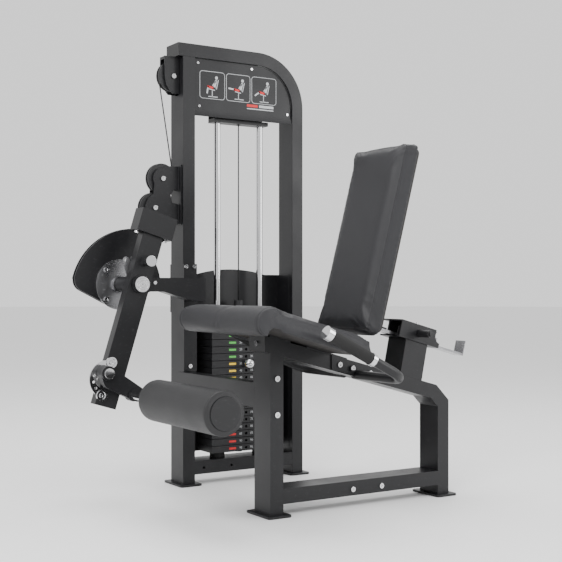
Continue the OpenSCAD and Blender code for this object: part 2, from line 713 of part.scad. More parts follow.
module roller_caps() color(nylon) on_plan() difference() {
    union() {
        rod_y(roller_c, 50.5, roller_mid_y - roller_l / 2 - 1, roller_mid_y - roller_l / 2 + 6);
        rod_y(roller_c, 50.5, roller_mid_y + roller_l / 2 - 6, roller_mid_y + roller_l / 2 + 1);
        rod_y(roller_c, foam_bore_r + 4, roller_mid_y - roller_l / 2, roller_mid_y + roller_l / 2);
    }
    rod_y(roller_c, axle_r + 0.1, roller_mid_y - roller_l / 2 + 4, -300);
}

// ---- seat frame ----
seat_bolts = [[6.5, 448.6], [6.5, 331.6]];
rail_bolts = [[308.5, 62], [429.5, 62]];
guide_bolts = [[304, beam_top(304) - 26], [377, beam_top(377) - 26]];
bracket_bolt = [251.2, beam_top(251.2) - 26];
module seat_beam() color(black) on_plan() difference() {
    xz(seat_y0, seat_y1) polygon(concat(
        frame_line(0, beam_x0, foot_t),
        reversed(frame_line(tube_w, beam_x0, foot_t))));
    xz(seat_y0 + wall, seat_y1 - wall) polygon(concat(
        frame_line(wall, beam_x0 - eps, foot_t - eps),
        reversed(frame_line(tube_w - wall, beam_x0 - eps, foot_t - eps))));
    for (c = concat(guide_bolts, [bracket_bolt])) rod_y(c, 4, seat_y0 - eps, seat_y1 + eps);
}
module seat_front_leg() color(black) on_plan() difference() {
    xz(seat_y0, seat_y1) polygon([[front_x, foot_t], [front_x + tube_w, foot_t],
        [front_x + tube_w, beam_bottom(front_x + tube_w)], [front_x, beam_bottom(front_x)]]);
    xz(seat_y0 + wall, seat_y1 - wall) polygon([[front_x + wall, foot_t - eps],
        [front_x + tube_w - wall, foot_t - eps],
        [front_x + tube_w - wall, beam_bottom(front_x + tube_w) - wall],
        [front_x + wall, beam_bottom(front_x) - wall]]);
    for (c = seat_bolts) rod_y(c, 4.5, seat_y0 - eps, seat_y1 + eps);
}
module seat_base_rail() color(black) on_plan() difference() {
    box([front_x + tube_w, seat_y0, rail_z], [rear_x, seat_y1, rail_z + tube_w]);
    box([front_x + tube_w + wall, seat_y0 + wall, rail_z + wall],
        [rear_x - wall, seat_y1 - wall, rail_z + tube_w - wall]);
    for (c = rail_bolts) rod_y(c, 4.5, seat_y0 - eps, seat_y1 + eps);
}

cross_z = [348, 430];
module cross_beam() color(black) on_plan() difference() {
    union() {
        difference() {
            box([front_x, seat_y1 + 8, cross_z[0]], [front_x + tube_w, -6, cross_z[1] - 0.5]);
            box([front_x + wall, seat_y1, cross_z[0] + wall],
                [front_x + tube_w - wall, 0, cross_z[1] - wall - 0.5]);
        }
        box([front_x, seat_y1, 315], [front_x + tube_w, seat_y1 + 8, 465]);
        box([front_x, -6, cross_z[0] - 8], [tube_w, 0, cross_z[1] - 0.5]);
    }
    for (c = seat_bolts) rod_y(c, 4.5, seat_y1 - eps, seat_y1 + 8 + eps);
}

module frame_bolts() color(chrome) {
    on_plan() frame_screws();
    on_guide() rod_z(top_screw_x, 0, 4, guide_h / 2 - guide_wall, guide_h / 2 + 14);
    on_guide() rod_z(top_screw_x, 0, 8, guide_h / 2, guide_h / 2 + 8);
}
module frame_screws() {
    for (c = column_bolts) screw_y(c, -8, 8, 6, column_bolt_r, tube_d + 16);
    for (c = seat_bolts) screw_y(c, seat_y0, 9.5, 6, 4.5, tube_d + 14);
    for (c = rail_bolts) screw_y(c, seat_y0, 9, 6, 4.5, tube_d);
    screw_y(bracket_bolt, seat_y0 - bracket_t, 9, 6, 4, tube_d + 2 * bracket_t);
    for (c = guide_bolts) screw_y(c, seat_y0 - handle_plate_t, 9, 6, 4, tube_d + 2 * handle_plate_t);
    // screw in the beam's end cap and the sign's four screws
    rod_x(seat_mid_y, beam_top(beam_x0) - 26, 9, beam_x0 - cap_t - 5, beam_x0 - cap_t);
    for (c = sign_screws) rod_y(c, 5, sign_y - 2.5, sign_y);
}
sign_screws = [[66, 1593], [302, 1593], [72, 1430], [466, 1430]];

// ---- seat ----
bracket_t = 5;
bracket_x = [220, 282];
seat_tilt = 16;
seat_top = [-121.7, 680];
seat_t = 46;
seat_lip = 20;
board_t = 10;
board_inset = 15;
roll_r = 50;
roll_c = [-150, 636];
seat_l = 375;
function seat_z(x, d) = seat_top[1] - (x - seat_top[0]) * tan(seat_tilt) - d / cos(seat_tilt);
// Saddle over the beam, with a tongue forward under the seat board
module saddle(x0, x1, tongue) difference() {
    xz(seat_y0 - bracket_t, seat_y1 + bracket_t) polygon([
        [x0, beam_top(x0) - 48], [x1, beam_top(x1) - 48],
        [x1, seat_z(x1, seat_t + board_t)], [tongue, seat_z(tongue, seat_t + board_t)],
        [tongue, beam_top(tongue)], [x0, beam_top(x0)]]);
    xz(seat_y0, seat_y1) polygon([[x0 - 1, beam_top(x0 - 1) - 60], [x1 + 1, beam_top(x1 + 1) - 60],
        [x1 + 1, beam_top(x1 + 1)], [x0 - 1, beam_top(x0 - 1)]]);
}
module seat_brackets() color(black) on_plan() difference() {
    union() {
        // low riser near the front and the saddle at the back
        xz(seat_y0, seat_y1) polygon([[-20, beam_top(-20)], [60, beam_top(60)],
            [60, seat_z(60, seat_t + board_t)], [-20, seat_z(-20, seat_t + board_t)]]);
        saddle(bracket_x[0], bracket_x[1], 120);
    }
    rod_y(bracket_bolt, 4, seat_y0 - 20, seat_y1 + 20);
}
module seat_base() color(wood) on_plan() on_slab()
    translate([0, -seat_w / 2 + board_inset, -seat_t - board_t])
        cube([seat_l - 6, seat_w - 2 * board_inset, board_t]);
// Cushion with a round roll along its front edge and side lips down over the board
module on_slab() translate([seat_top[0], seat_mid_y, seat_top[1]]) rotate([0, seat_tilt, 0]) children();
module seat_pad() color(vinyl) on_plan() difference() {
    union() {
        rod_y(roll_c, roll_r, seat_mid_y - seat_w / 2, seat_mid_y + seat_w / 2);
        on_slab() box([-12, -seat_w / 2, -seat_t - seat_lip], [seat_l, seat_w / 2, 0]);
    }
    on_slab() box([-1, -seat_w / 2 + board_inset - 1, -seat_t - 60],
        [seat_l + 10, seat_w / 2 - board_inset + 1, -seat_t]);
    on_slab() box([-1, -seat_w / 2 - 10, -seat_t - 60], [seat_l + 10, seat_w / 2 + 10, -seat_t - seat_lip]);
}

// ---- handles ----
// The bar leaves a flange on the beam's side, bends forward beside the seat and carries the grip
handle_r = 16;
handle_plate_t = 6;
handle_out = 315;
handle_x = 331;
grip_tail = [201.6, 513.3];
grip_head = [27.6, 601.8];
handle_a = atan2(grip_head[1] - grip_tail[1], grip_tail[0] - grip_head[0]);
handle_bend = 70;
// How far each round knuckle of the bend stands out
knuckle = 0.4;
bar_end = [grip_head[0], handle_out, grip_head[1]];
bar_dir = [cos(handle_a), 0, -sin(handle_a)];
bar_corner = bar_end + bar_dir * ((handle_x - grip_head[0]) / cos(handle_a));
bend_out = [bar_corner[0], handle_out - handle_bend, bar_corner[2]];
flange_x = [292, 392];
// Straight round bar from point a to point b
module bar_between(a, b) translate(a)
    rotate([0, acos((b - a)[2] / norm(b - a)), atan2((b - a)[1], (b - a)[0])])
        cylinder(r = handle_r, h = norm(b - a));
// Point of the bend's centre line at angle a past its outer end
function on_bend(a) = bend_out
    + handle_bend * (bar_dir * (cos(a) - 1) + [0, sin(a), 0]);
// Bar drawn for the +Y side about the seat's middle plane
module handle_bar() {
    side_y = tube_d / 2 + handle_plate_t;
    path = [[bar_corner[0], side_y, bar_corner[2]], on_bend(0), on_bend(30), on_bend(60),
        on_bend(90), bar_end];
    for (i = [0 : len(path) - 2]) bar_between(path[i], path[i + 1]);
    for (i = [1 : len(path) - 2]) translate(path[i]) sphere(r = handle_r + knuckle);
    // flange on the beam's side
    difference() {
        xz(tube_d / 2, side_y) polygon([[flange_x[0], beam_top(flange_x[0]) - 3],
            [flange_x[1], beam_top(flange_x[1]) - 3], [flange_x[1], beam_top(flange_x[1]) - 58],
            [flange_x[0], beam_top(flange_x[0]) - 58]]);
        for (c = guide_bolts) rod_y(c, 4, 0, 100);
    }
}
module both_sides() on_plan() translate([0, seat_mid_y, 0]) {
    children();
    mirror([0, 1, 0]) children();
}
module handles() color(black) both_sides() handle_bar();
grip_len = norm(grip_tail - grip_head) - 20;
module on_grip() translate(bar_end) rotate([0, 90 + handle_a, 0]) children();
module grips() color(rubber) both_sides() on_grip() translate([0, 0, 8]) difference() {
    cylinder(r = 19.5, h = grip_len - 8);
    translate([0, 0, -eps]) cylinder(r = handle_r, h = grip_len + 1);
}
module grip_ends() color(chrome) both_sides() on_grip() {
    translate([0, 0, -14]) difference() {
        cylinder(r = 22, h = 22);
        translate([0, 0, 14]) cylinder(r = handle_r, h = 10);
    }
    translate([0, 0, grip_len]) difference() {
        cylinder(r = 21, h = 16);
        translate([0, 0, -eps]) cylinder(r = handle_r, h = 20);
    }
}

// ---- backrest ----
bar_a = beam_tilt;
guide_c = [603, 580];
module on_guide() on_plan() translate([guide_c[0], seat_mid_y, guide_c[1]]) rotate([0, bar_a, 0]) children();
// Post from the beam to the guide: its foot and its top along X
post_foot = [514, 610];
post_head = [540, 636];
module post_outline(m, over) polygon([
    [post_foot[0] + m, beam_top(post_foot[0] + m) - over],
    [post_foot[1] - m, beam_top(post_foot[1] - m) - over],
    [post_head[1] - m, post_top(post_head[1] - m) + over],
    [post_head[0] + m, post_top(post_head[0] + m) + over]]);
module backrest_post() color(black) on_plan() difference() {
    xz(seat_y0, seat_y1) post_outline(0, 0);
    xz(seat_y0 + wall, seat_y1 - wall) post_outline(wall, eps);
}
guide_x = [-93, 90];
guide_h = 61;
guide_w = 110;
guide_wall = 5;
bar_w = 50;
bar_t = 8;
lock_x = -8;
lock_r = 5;
top_screw_x = 18;
function post_top(x) = guide_c[1] - (x - guide_c[0]) * tan(bar_a) - guide_h / 2 / cos(bar_a);
// Channel open toward +Y, with a scalloped web and two rails beside the bar
module backrest_guide() color(black) on_guide() difference() {
    union() {
        for (z = [-guide_h / 2, guide_h / 2 - guide_wall])
            box([guide_x[0], -guide_w / 2, z], [guide_x[1], guide_w / 2, z + guide_wall]);
        box([guide_x[0], -guide_w / 2, -guide_h / 2], [guide_x[1], -guide_w / 2 + guide_wall, guide_h / 2]);
        box([guide_x[0] + 10, -bar_w / 2 - 8, -guide_h / 2],
            [guide_x[1] - 10, -bar_w / 2 - 0.5, lock_r + 4]);
        box([guide_x[0] + 10, bar_w / 2 + 0.5, -guide_h / 2], [guide_x[1] - 10, bar_w / 2 + 8, guide_h / 2]);
        rod_y([lock_x, 0], 14, -guide_w / 2 - 6, -bar_w / 2 - 8 + eps);
    }
    rod_y([guide_x[1] + 2, 12], 26, -guide_w / 2 - 1, -guide_w / 2 + guide_wall + 1);
    box([guide_x[1] - 24, -guide_w / 2 - 1, guide_h / 2 - guide_wall - eps],
        [guide_x[1] + 1, guide_w / 2 + 1, guide_h / 2 + 1]);
    rod_y([lock_x, 0], lock_r + 0.1, -guide_w, -bar_w / 2);
    rod_z(top_screw_x, 0, 4, 0, guide_h);
}
// Flat bar bent up at its rear end, with a strip of locking holes along its near edge
bar_z = -guide_h / 2 + guide_wall + 0.3;
bar_x = [-235, 236];
hook_h = 55;
hook_t = 4;
strip_x = [-48, 102];
strip_t = 8;
hole_pitch = 25;
module backrest_bar() color(steel) on_guide() difference() {
    union() {
        box([bar_x[0], -bar_w / 2, bar_z], [bar_x[1], bar_w / 2, bar_z + bar_t]);
        box([bar_x[1] - hook_t, -bar_w / 2, bar_z], [bar_x[1], bar_w / 2, bar_z + hook_h]);
        box([strip_x[0], -bar_w / 2, bar_z], [strip_x[1], -bar_w / 2 + strip_t, lock_r + 4]);
    }
    for (i = [-1:4])
        rod_y([lock_x + i * hole_pitch, 0], lock_r + 0.4, -bar_w, -bar_w / 2 + strip_t + eps);
}
back_lean = 15;
back_t = 58;
back_board_t = 12;
back_low = [284, 594];
plate_x0 = back_t + back_board_t;
plate_t_back = 6;
// Backrest axes: origin at the lower front edge, x through the pad, z up along it
module on_back() on_plan() translate([back_low[0], seat_mid_y, back_low[1]])
    rotate([0, back_lean, 0]) children();
module backrest_pad() color(vinyl) on_back()
    translate([0, 0, back_l / 2]) rotate([0, 90, 0]) linear_extrude(back_t) rounded(back_l, back_w, 35);
module backrest_board() color(wood) on_back() translate([back_t, 0, back_l / 2])
    rotate([0, 90, 0]) linear_extrude(back_board_t) rounded(back_l - 30, back_w - 30, 25);
// Point on the mounting plate's rear face, at z along the backrest
function plate_rear(z) = back_low + (plate_x0 + plate_t_back) * [cos(back_lean), -sin(back_lean)]
    + z * [sin(back_lean), cos(back_lean)];
// Point on the bar's top face, at x along the bar
function bar_top(x) = guide_c + x * [cos(bar_a), -sin(bar_a)] + (bar_z + bar_t) * [sin(bar_a), cos(bar_a)];
// Plate behind the board, with a gusset down to its foot on the bar
gusset_half = 4;
foot_reach = 105;
module backrest_bracket() color(black) {
    on_back() box([plate_x0, -30, 40], [plate_x0 + plate_t_back, 30, 420]);
    on_guide() box([bar_x[0], -bar_w / 2, bar_z + bar_t],
        [bar_x[0] + foot_reach, bar_w / 2, bar_z + bar_t + 6]);
    on_plan() xz(seat_mid_y - gusset_half, seat_mid_y + gusset_half) polygon([
        plate_rear(50) - [1, 0], plate_rear(170) - [1, 0], bar_top(bar_x[0] + foot_reach - 5) + [0, 3],
        bar_top(bar_x[0] + 4) + [0, 3]]);
}
// Spring pin with a long grip; its nose stops just short of the bar's strip
module backrest_pin() color(chrome) on_guide() {
    rod_y([lock_x, 0], 13, -guide_w / 2 - 60, -guide_w / 2 - 6.5);
    rod_y([lock_x, 0], 8, -guide_w / 2 - 66, -guide_w / 2 - 60);
    rod_y([lock_x, 0], lock_r, -guide_w / 2 - 10, -bar_w / 2 - 0.4);
}

left_upright();
bent_upright();
base_crossbeam();
foot_plates();
tube_end_caps();
sign_panel();
rod_bracket();
guide_rods();
rod_bumpers();
rear_guard();
lower_plates();
column_plates();
pivot_arm();
pivot_bearings();
stop_buffer();
side_pulley_bracket();
twin_pulley_bracket();
centre_pulley_bracket();
pulley_bolts();
frame_bolts();
seat_beam();
seat_front_leg();
seat_base_rail();
cross_beam();
seat_brackets();
seat_base();
seat_pad();
handles();
grips();
grip_ends();
backrest_post();
backrest_guide();
upper_cable();
backrest_bar();
backrest_bracket();
backrest_board();
backrest_pad();
backrest_pin();
cam();
pivot_shaft();
start_quadrant();
pivot_cap();
cam_bolts();
cam_cable();
lever();
counterweight();
lever_bolts();
sector_plate();
lever_pull_pin();
roller_arm();
roller_axle();
roller_foam();
roller_caps();
side_pulley();
upper_twin_pulley();
lower_twin_pulley();
centre_pulley();
lifted_plates();
selector_rod();
selector_pin();
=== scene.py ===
import json
import math

import bpy
import bmesh
from mathutils import Matrix, Vector

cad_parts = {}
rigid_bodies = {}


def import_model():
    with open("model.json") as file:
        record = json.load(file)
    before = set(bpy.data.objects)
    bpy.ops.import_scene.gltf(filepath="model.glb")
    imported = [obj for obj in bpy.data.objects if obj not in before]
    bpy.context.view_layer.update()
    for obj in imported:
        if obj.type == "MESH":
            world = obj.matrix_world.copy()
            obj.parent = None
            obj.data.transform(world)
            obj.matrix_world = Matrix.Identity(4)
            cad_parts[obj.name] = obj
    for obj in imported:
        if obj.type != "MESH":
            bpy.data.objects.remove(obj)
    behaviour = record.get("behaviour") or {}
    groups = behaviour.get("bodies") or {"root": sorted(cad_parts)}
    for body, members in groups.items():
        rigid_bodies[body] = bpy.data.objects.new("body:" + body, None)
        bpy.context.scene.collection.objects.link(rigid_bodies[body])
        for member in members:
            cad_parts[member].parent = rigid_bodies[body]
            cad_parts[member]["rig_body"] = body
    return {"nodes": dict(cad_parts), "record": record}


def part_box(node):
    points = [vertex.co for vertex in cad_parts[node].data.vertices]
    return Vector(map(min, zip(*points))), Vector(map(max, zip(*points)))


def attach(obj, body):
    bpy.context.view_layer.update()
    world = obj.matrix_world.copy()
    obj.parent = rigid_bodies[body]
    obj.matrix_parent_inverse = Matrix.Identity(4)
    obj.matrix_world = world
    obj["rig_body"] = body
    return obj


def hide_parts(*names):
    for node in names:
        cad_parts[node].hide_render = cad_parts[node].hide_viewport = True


bl_info = {
    "name": "Leg Extension Machine",
    "version": (1, 0, 0),
    "blender": (4, 5, 0),
    "location": "View3D > Sidebar > Leg Machine",
    "description": "Finishes a selectorised leg extension machine over its CAD frame",
    "category": "Object",
}

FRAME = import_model()
NODES = FRAME["nodes"]
SLOT_OF = {s["node"]: s["material_slot"] for s in FRAME["record"]["subparts"]}
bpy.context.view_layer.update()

# The machine's plan is drawn in millimetres about its own corner
PLAN_X = 203.8
PLAN_Y = -406.0
SEAT_MID_Y = -600.0
SOFT_NODES = ("seat_pad", "backrest_pad", "roller_foam")
SPECIAL_NODES = SOFT_NODES + ("handles", "grips", "upper_cable", "cam_cable")


def plan(x, y, z):
    """A plan point in millimetres as a point of the row frame in metres."""
    return Vector((x - PLAN_X, y - PLAN_Y, z)) / 1000


# ---- sizes and colours ----


def colour(name, text, value):
    return bpy.props.FloatVectorProperty(
        name=name, description=text, subtype="COLOR", size=4, min=0, max=1, default=(*value, 1)
    )


def length(name, text, value):
    return bpy.props.FloatProperty(
        name=name, description=text, default=value, min=0, unit="LENGTH", subtype="DISTANCE",
        precision=4,
    )


class LEGMACHINE_PG_colours(bpy.types.PropertyGroup):
    """Colours of the finishes"""

    frame_paint: colour("Frame", "Powder coat of the tubes", (0.006, 0.006, 0.007))
    chrome: colour("Chrome", "Polished rods and caps", (0.62, 0.62, 0.63))
    steel: colour("Steel", "Zinc plated bars and screws", (0.30, 0.30, 0.31))
    nylon: colour("Nylon", "Moulded pulley wheels", (0.011, 0.011, 0.012))
    plate_iron: colour("Plates", "Painted weight plates", (0.012, 0.012, 0.013))
    rubber: colour("Rubber", "Feet, buffers and grips", (0.009, 0.009, 0.009))
    foam_skin: colour("Roller skin", "Skin of the shin roller", (0.014, 0.014, 0.015))
    vinyl: colour("Vinyl", "Cover of the cushions", (0.015, 0.015, 0.017))
    board: colour("Board", "Boards under the cushions", (0.018, 0.016, 0.015))
    cable: colour("Cable", "Coated lifting cable", (0.012, 0.012, 0.012))
    mark: colour("Marks", "Grey of the printed marks", (0.42, 0.43, 0.44))
    accent: colour("Accent", "Red of the printed marks", (0.55, 0.02, 0.02))
    green: colour("Green", "Labels of the light plates", (0.08, 0.4, 0.07))
    yellow: colour("Yellow", "Labels of the middle plates", (0.75, 0.5, 0.03))
    floor: colour("Floor", "Studio floor", (0.84, 0.84, 0.84))


class LEGMACHINE_PG_sizes(bpy.types.PropertyGroup):
    """Sizes that a user may change"""

    edge: length("Edge round", "Width of the rounded edges on metal", 0.0014)
    voxel: length("Voxel", "Mesh size of the cushions before simulation", 0.006)
    inset: length("Start inset", "How much smaller a cushion starts", 0.006)
    seat_swell: length("Seat swell", "Cap on the seat's movement", 0.014)
    back_swell: length("Back swell", "Cap on the backrest's movement", 0.014)
    roller_swell: length("Roller swell", "Cap on the roller's movement", 0.0075)
    seam: length("Seam", "Radius of the piping along a seam", 0.0016)
    pressure: bpy.props.FloatProperty(
        name="Pressure", description="Cloth pressure inside a cushion", default=4, min=0
    )


def colours():
    return bpy.context.scene.leg_machine_colours


def sizes():
    return bpy.context.scene.leg_machine_sizes


# ---- materials ----


def surface_group():
    """Masks and heights shared by every finish."""
    group = bpy.data.node_groups.get("Surface Marks")
    if group:
        return group
    group = bpy.data.node_groups.new("Surface Marks", "ShaderNodeTree")
    face = group.interface
    face.new_socket(name="Vector", in_out="INPUT", socket_type="NodeSocketVector")
    face.new_socket(name="Scale", in_out="INPUT", socket_type="NodeSocketFloat")
    for name in ("Broad", "Fine", "Cells", "Scuffs"):
        face.new_socket(name=name, in_out="OUTPUT", socket_type="NodeSocketFloat")
    n, links = group.nodes, group.links
    source = n.new("NodeGroupInput")
    sink = n.new("NodeGroupOutput")
    broad = n.new("ShaderNodeTexNoise")
    broad.inputs["Scale"].default_value = 7
    broad.inputs["Detail"].default_value = 6
    fine = n.new("ShaderNodeTexNoise")
    fine.inputs["Detail"].default_value = 3
    cells = n.new("ShaderNodeTexVoronoi")
    cells.feature = "DISTANCE_TO_EDGE"
    ramp = n.new("ShaderNodeMapRange")
    ramp.inputs["From Max"].default_value = 0.22
    ramp.interpolation_type = "SMOOTHSTEP"
    stretch = n.new("ShaderNodeVectorMath")
    stretch.operation = "MULTIPLY"
    stretch.inputs[1].default_value = (60, 14, 130)
    scuff = n.new("ShaderNodeTexNoise")
    scuff.inputs["Scale"].default_value = 1.4
    scuff.inputs["Detail"].default_value = 5
    marks = n.new("ShaderNodeMapRange")
    marks.inputs["From Min"].default_value = 0.60
    marks.inputs["From Max"].default_value = 0.74
    for node in (broad, fine, cells, stretch):
        links.new(source.outputs["Vector"], node.inputs["Vector" if node is not stretch else 0])
    links.new(source.outputs["Scale"], fine.inputs["Scale"])
    links.new(source.outputs["Scale"], cells.inputs["Scale"])
    links.new(stretch.outputs[0], scuff.inputs["Vector"])
    links.new(cells.outputs["Distance"], ramp.inputs["Value"])
    links.new(scuff.outputs["Fac"], marks.inputs["Value"])
    links.new(broad.outputs["Fac"], sink.inputs["Broad"])
    links.new(fine.outputs["Fac"], sink.inputs["Fine"])
    links.new(ramp.outputs["Result"], sink.inputs["Cells"])
    links.new(marks.outputs["Result"], sink.inputs["Scuffs"])
    return group


# name: roughness, its spread, metal, coat, grain output, grain scale, grain depth, colour shift
FINISHES = {
    "frame_paint": (0.38, 0.12, 0.0, 0.0, "Fine", 900, 0.00012, 0.35),
    "chrome": (0.09, 0.08, 1.0, 0.0, "Fine", 60, 0.00001, 0.10),
    "steel": (0.28, 0.14, 1.0, 0.0, "Fine", 700, 0.00003, 0.22),
    "nylon": (0.42, 0.12, 0.0, 0.0, "Fine", 500, 0.00010, 0.40),
    "plate_iron": (0.46, 0.16, 0.0, 0.0, "Fine", 420, 0.00020, 0.45),
    "rubber": (0.68, 0.14, 0.0, 0.0, "Fine", 800, 0.00015, 0.50),
    "foam_skin": (0.50, 0.12, 0.0, 0.0, "Cells", 620, 0.00018, 0.35),
    "vinyl": (0.46, 0.12, 0.0, 0.0, "Cells", 520, 0.00028, 0.40),
    "board": (0.55, 0.15, 0.0, 0.0, "Fine", 160, 0.00030, 0.60),
    "cable": (0.34, 0.10, 0.0, 0.2, "Fine", 900, 0.00010, 0.30),
    "mark": (0.50, 0.10, 0.0, 0.0, "Fine", 600, 0.00003, 0.10),
    "accent": (0.50, 0.10, 0.0, 0.0, "Fine", 600, 0.00003, 0.10),
    "green": (0.50, 0.10, 0.0, 0.0, "Fine", 600, 0.00003, 0.12),
    "yellow": (0.50, 0.10, 0.0, 0.0, "Fine", 600, 0.00003, 0.12),
    "floor": (0.60, 0.10, 0.0, 0.0, "Fine", 30, 0.00005, 0.02),
}
SCUFFED = ("frame_paint", "plate_iron", "steel", "nylon")


def finish(name):
    """The material of that finish, made once."""
    mat = bpy.data.materials.get("Finish " + name)
    if mat:
        return mat
    rough, spread, metal, coat, grain, scale, depth, shift = FINISHES[name]
    base = tuple(getattr(colours(), name))
    mat = bpy.data.materials.new("Finish " + name)
    mat.use_nodes = True
    n, links = mat.node_tree.nodes, mat.node_tree.links
    shader = n["Principled BSDF"]
    shader.inputs["Metallic"].default_value = metal
    shader.inputs["Coat Weight"].default_value = coat
    if not metal:
        shader.inputs["Specular IOR Level"].default_value = 0.34
    shader.inputs["Coat Roughness"].default_value = 0.2
    place = n.new("ShaderNodeTexCoord")
    marks = n.new("ShaderNodeGroup")
    marks.node_tree = surface_group()
    marks.inputs["Scale"].default_value = scale
    links.new(place.outputs["Object"], marks.inputs["Vector"])
    tint = n.new("ShaderNodeMix")
    tint.data_type = "RGBA"
    tint.inputs["A"].default_value = tuple(c * (1 - shift / 2) for c in base[:3]) + (1,)
    tint.inputs["B"].default_value = tuple(min(1, c * (1 + shift)) for c in base[:3]) + (1,)
    links.new(marks.outputs["Broad"], tint.inputs["Factor"])
    gloss = n.new("ShaderNodeMapRange")
    gloss.inputs["From Min"].default_value = 0.3
    gloss.inputs["From Max"].default_value = 0.7
    gloss.inputs["To Min"].default_value = max(0.02, rough - spread / 2)
    gloss.inputs["To Max"].default_value = rough + spread / 2
    links.new(marks.outputs["Broad"], gloss.inputs["Value"])
    last_colour = tint.outputs["Result"]
    last_gloss = gloss.outputs["Result"]
    if name in SCUFFED:
        worn = n.new("ShaderNodeMix")
        worn.data_type = "RGBA"
        worn.inputs["B"].default_value = tuple(min(1, c * 1.7 + 0.008) for c in base[:3]) + (1,)
        links.new(marks.outputs["Scuffs"], worn.inputs["Factor"])
        links.new(last_colour, worn.inputs["A"])
        last_colour = worn.outputs["Result"]
        dull = n.new("ShaderNodeMath")
        dull.operation = "MULTIPLY_ADD"
        dull.inputs[1].default_value = 0.12
        links.new(marks.outputs["Scuffs"], dull.inputs[0])
        links.new(last_gloss, dull.inputs[2])
        last_gloss = dull.outputs["Value"]
    bump = n.new("ShaderNodeBump")
    bump.inputs["Strength"].default_value = 0.6
    bump.inputs["Distance"].default_value = depth
    links.new(marks.outputs[grain], bump.inputs["Height"])
    links.new(bump.outputs["Normal"], shader.inputs["Normal"])
    links.new(last_colour, shader.inputs["Base Color"])
    links.new(last_gloss, shader.inputs["Roughness"])
    return mat


# ---- mesh helpers ----


def new_piece(name, bm, material, body, smooth=30):
    """A mesh object from bm, with its material, riding on a CAD body."""
    mesh = bpy.data.meshes.new(name)
    bm.to_mesh(mesh)
    bm.free()
    piece = bpy.data.objects.new(name, mesh)
    bpy.context.scene.collection.objects.link(piece)
    mesh.materials.append(finish(material))
    shade(mesh, smooth)
    if body:
        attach(piece, body)
    return piece


def shade(mesh, degrees):
    """Smooth shading with edges sharper than that angle kept."""
    for face in mesh.polygons:
        face.use_smooth = True
    mesh.set_sharp_from_angle(angle=math.radians(degrees))


def merged_copy(*nodes):
    """A bmesh of those CAD nodes with their loose triangles welded."""
    bm = bmesh.new()
    for node in nodes:
        bm.from_mesh(NODES[node].data)
    bmesh.ops.remove_doubles(bm, verts=bm.verts, dist=2e-6)
    return bm


def is_whole(bm, volume, reach):
    """Whether a shape is still closed and has kept its volume and its size."""
    if any(len(e.link_faces) != 2 for e in bm.edges):
        return False
    if abs(bm.calc_volume() - volume) > 0.03 * abs(volume):
        return False
    return all(abs(a - b) < 2e-4 for a, b in zip(reach_of(bm), reach))


def reach_of(bm):
    """The lowest and highest coordinate of a shape along each axis."""
    return [f(v.co[i] for v in bm.verts) for i in range(3) for f in (min, max)]


def rounded_copy(node, width):
    """A welded copy of a CAD node with the widest clean rounding of its edges."""
    for share in (1, 0.5, 0.25):
        bm = merged_copy(node)
        volume = bm.calc_volume()
        reach = reach_of(bm)
        round_edges(bm, width * share)
        if is_whole(bm, volume, reach):
            return bm
        bm.free()
    return merged_copy(node)


def round_edges(bm, width, degrees=32, segments=2):
    """Rounds the edges that turn by more than that angle, after coplanar faces are joined."""
    bmesh.ops.dissolve_limit(
        bm, angle_limit=math.radians(0.6), verts=bm.verts, edges=bm.edges, delimit=set()
    )
    sharp = [
        e for e in bm.edges
        if len(e.link_faces) == 2 and e.calc_face_angle(0) > math.radians(degrees)
    ]
    bmesh.ops.bevel(
        bm, geom=sharp, offset=width, offset_type="OFFSET", affect="EDGES", segments=segments,
        profile=0.5, material=-1, clamp_overlap=True,
    )


def block(low, high, radius=0.0):
    """A box between two row frame corners, with rounded upright corners in its XZ outline."""
    bm = bmesh.new()
    bmesh.ops.create_cube(bm, size=1)
    size = Vector(high) - Vector(low)
    middle = (Vector(high) + Vector(low)) / 2
    bmesh.ops.scale(bm, vec=size, verts=bm.verts)
    bmesh.ops.translate(bm, vec=middle, verts=bm.verts)
    if radius:
        along = [
            e for e in bm.edges
            if abs((e.verts[0].co - e.verts[1].co).normalized().y) > 0.99
        ]
        bmesh.ops.bevel(
            bm, geom=along, offset=radius, offset_type="OFFSET", affect="EDGES", segments=6,
            profile=0.5, material=-1,
        )
    return bm


def lathe(outline, matrix, steps=64):
    """Spins (radius, height) points round Z and moves the shape by the matrix."""
    bm = bmesh.new()
    verts = [bm.verts.new((r, 0, z)) for r, z in outline]
    edges = [bm.edges.new(pair) for pair in zip(verts, verts[1:])]
    bmesh.ops.spin(
        bm, geom=verts + edges, axis=(0, 0, 1), cent=(0, 0, 0), angle=math.tau, steps=steps,
        use_merge=True,
    )
    bmesh.ops.remove_doubles(bm, verts=bm.verts, dist=1e-6)
    bmesh.ops.recalc_face_normals(bm, faces=bm.faces)
    bmesh.ops.transform(bm, matrix=matrix, verts=bm.verts)
    return bm


def aim(start, end):
    """A matrix that puts the origin at start and turns Z towards end."""
    turn = (end - start).to_track_quat("Z", "Y").to_matrix().to_4x4()
    return Matrix.Translation(start) @ turn


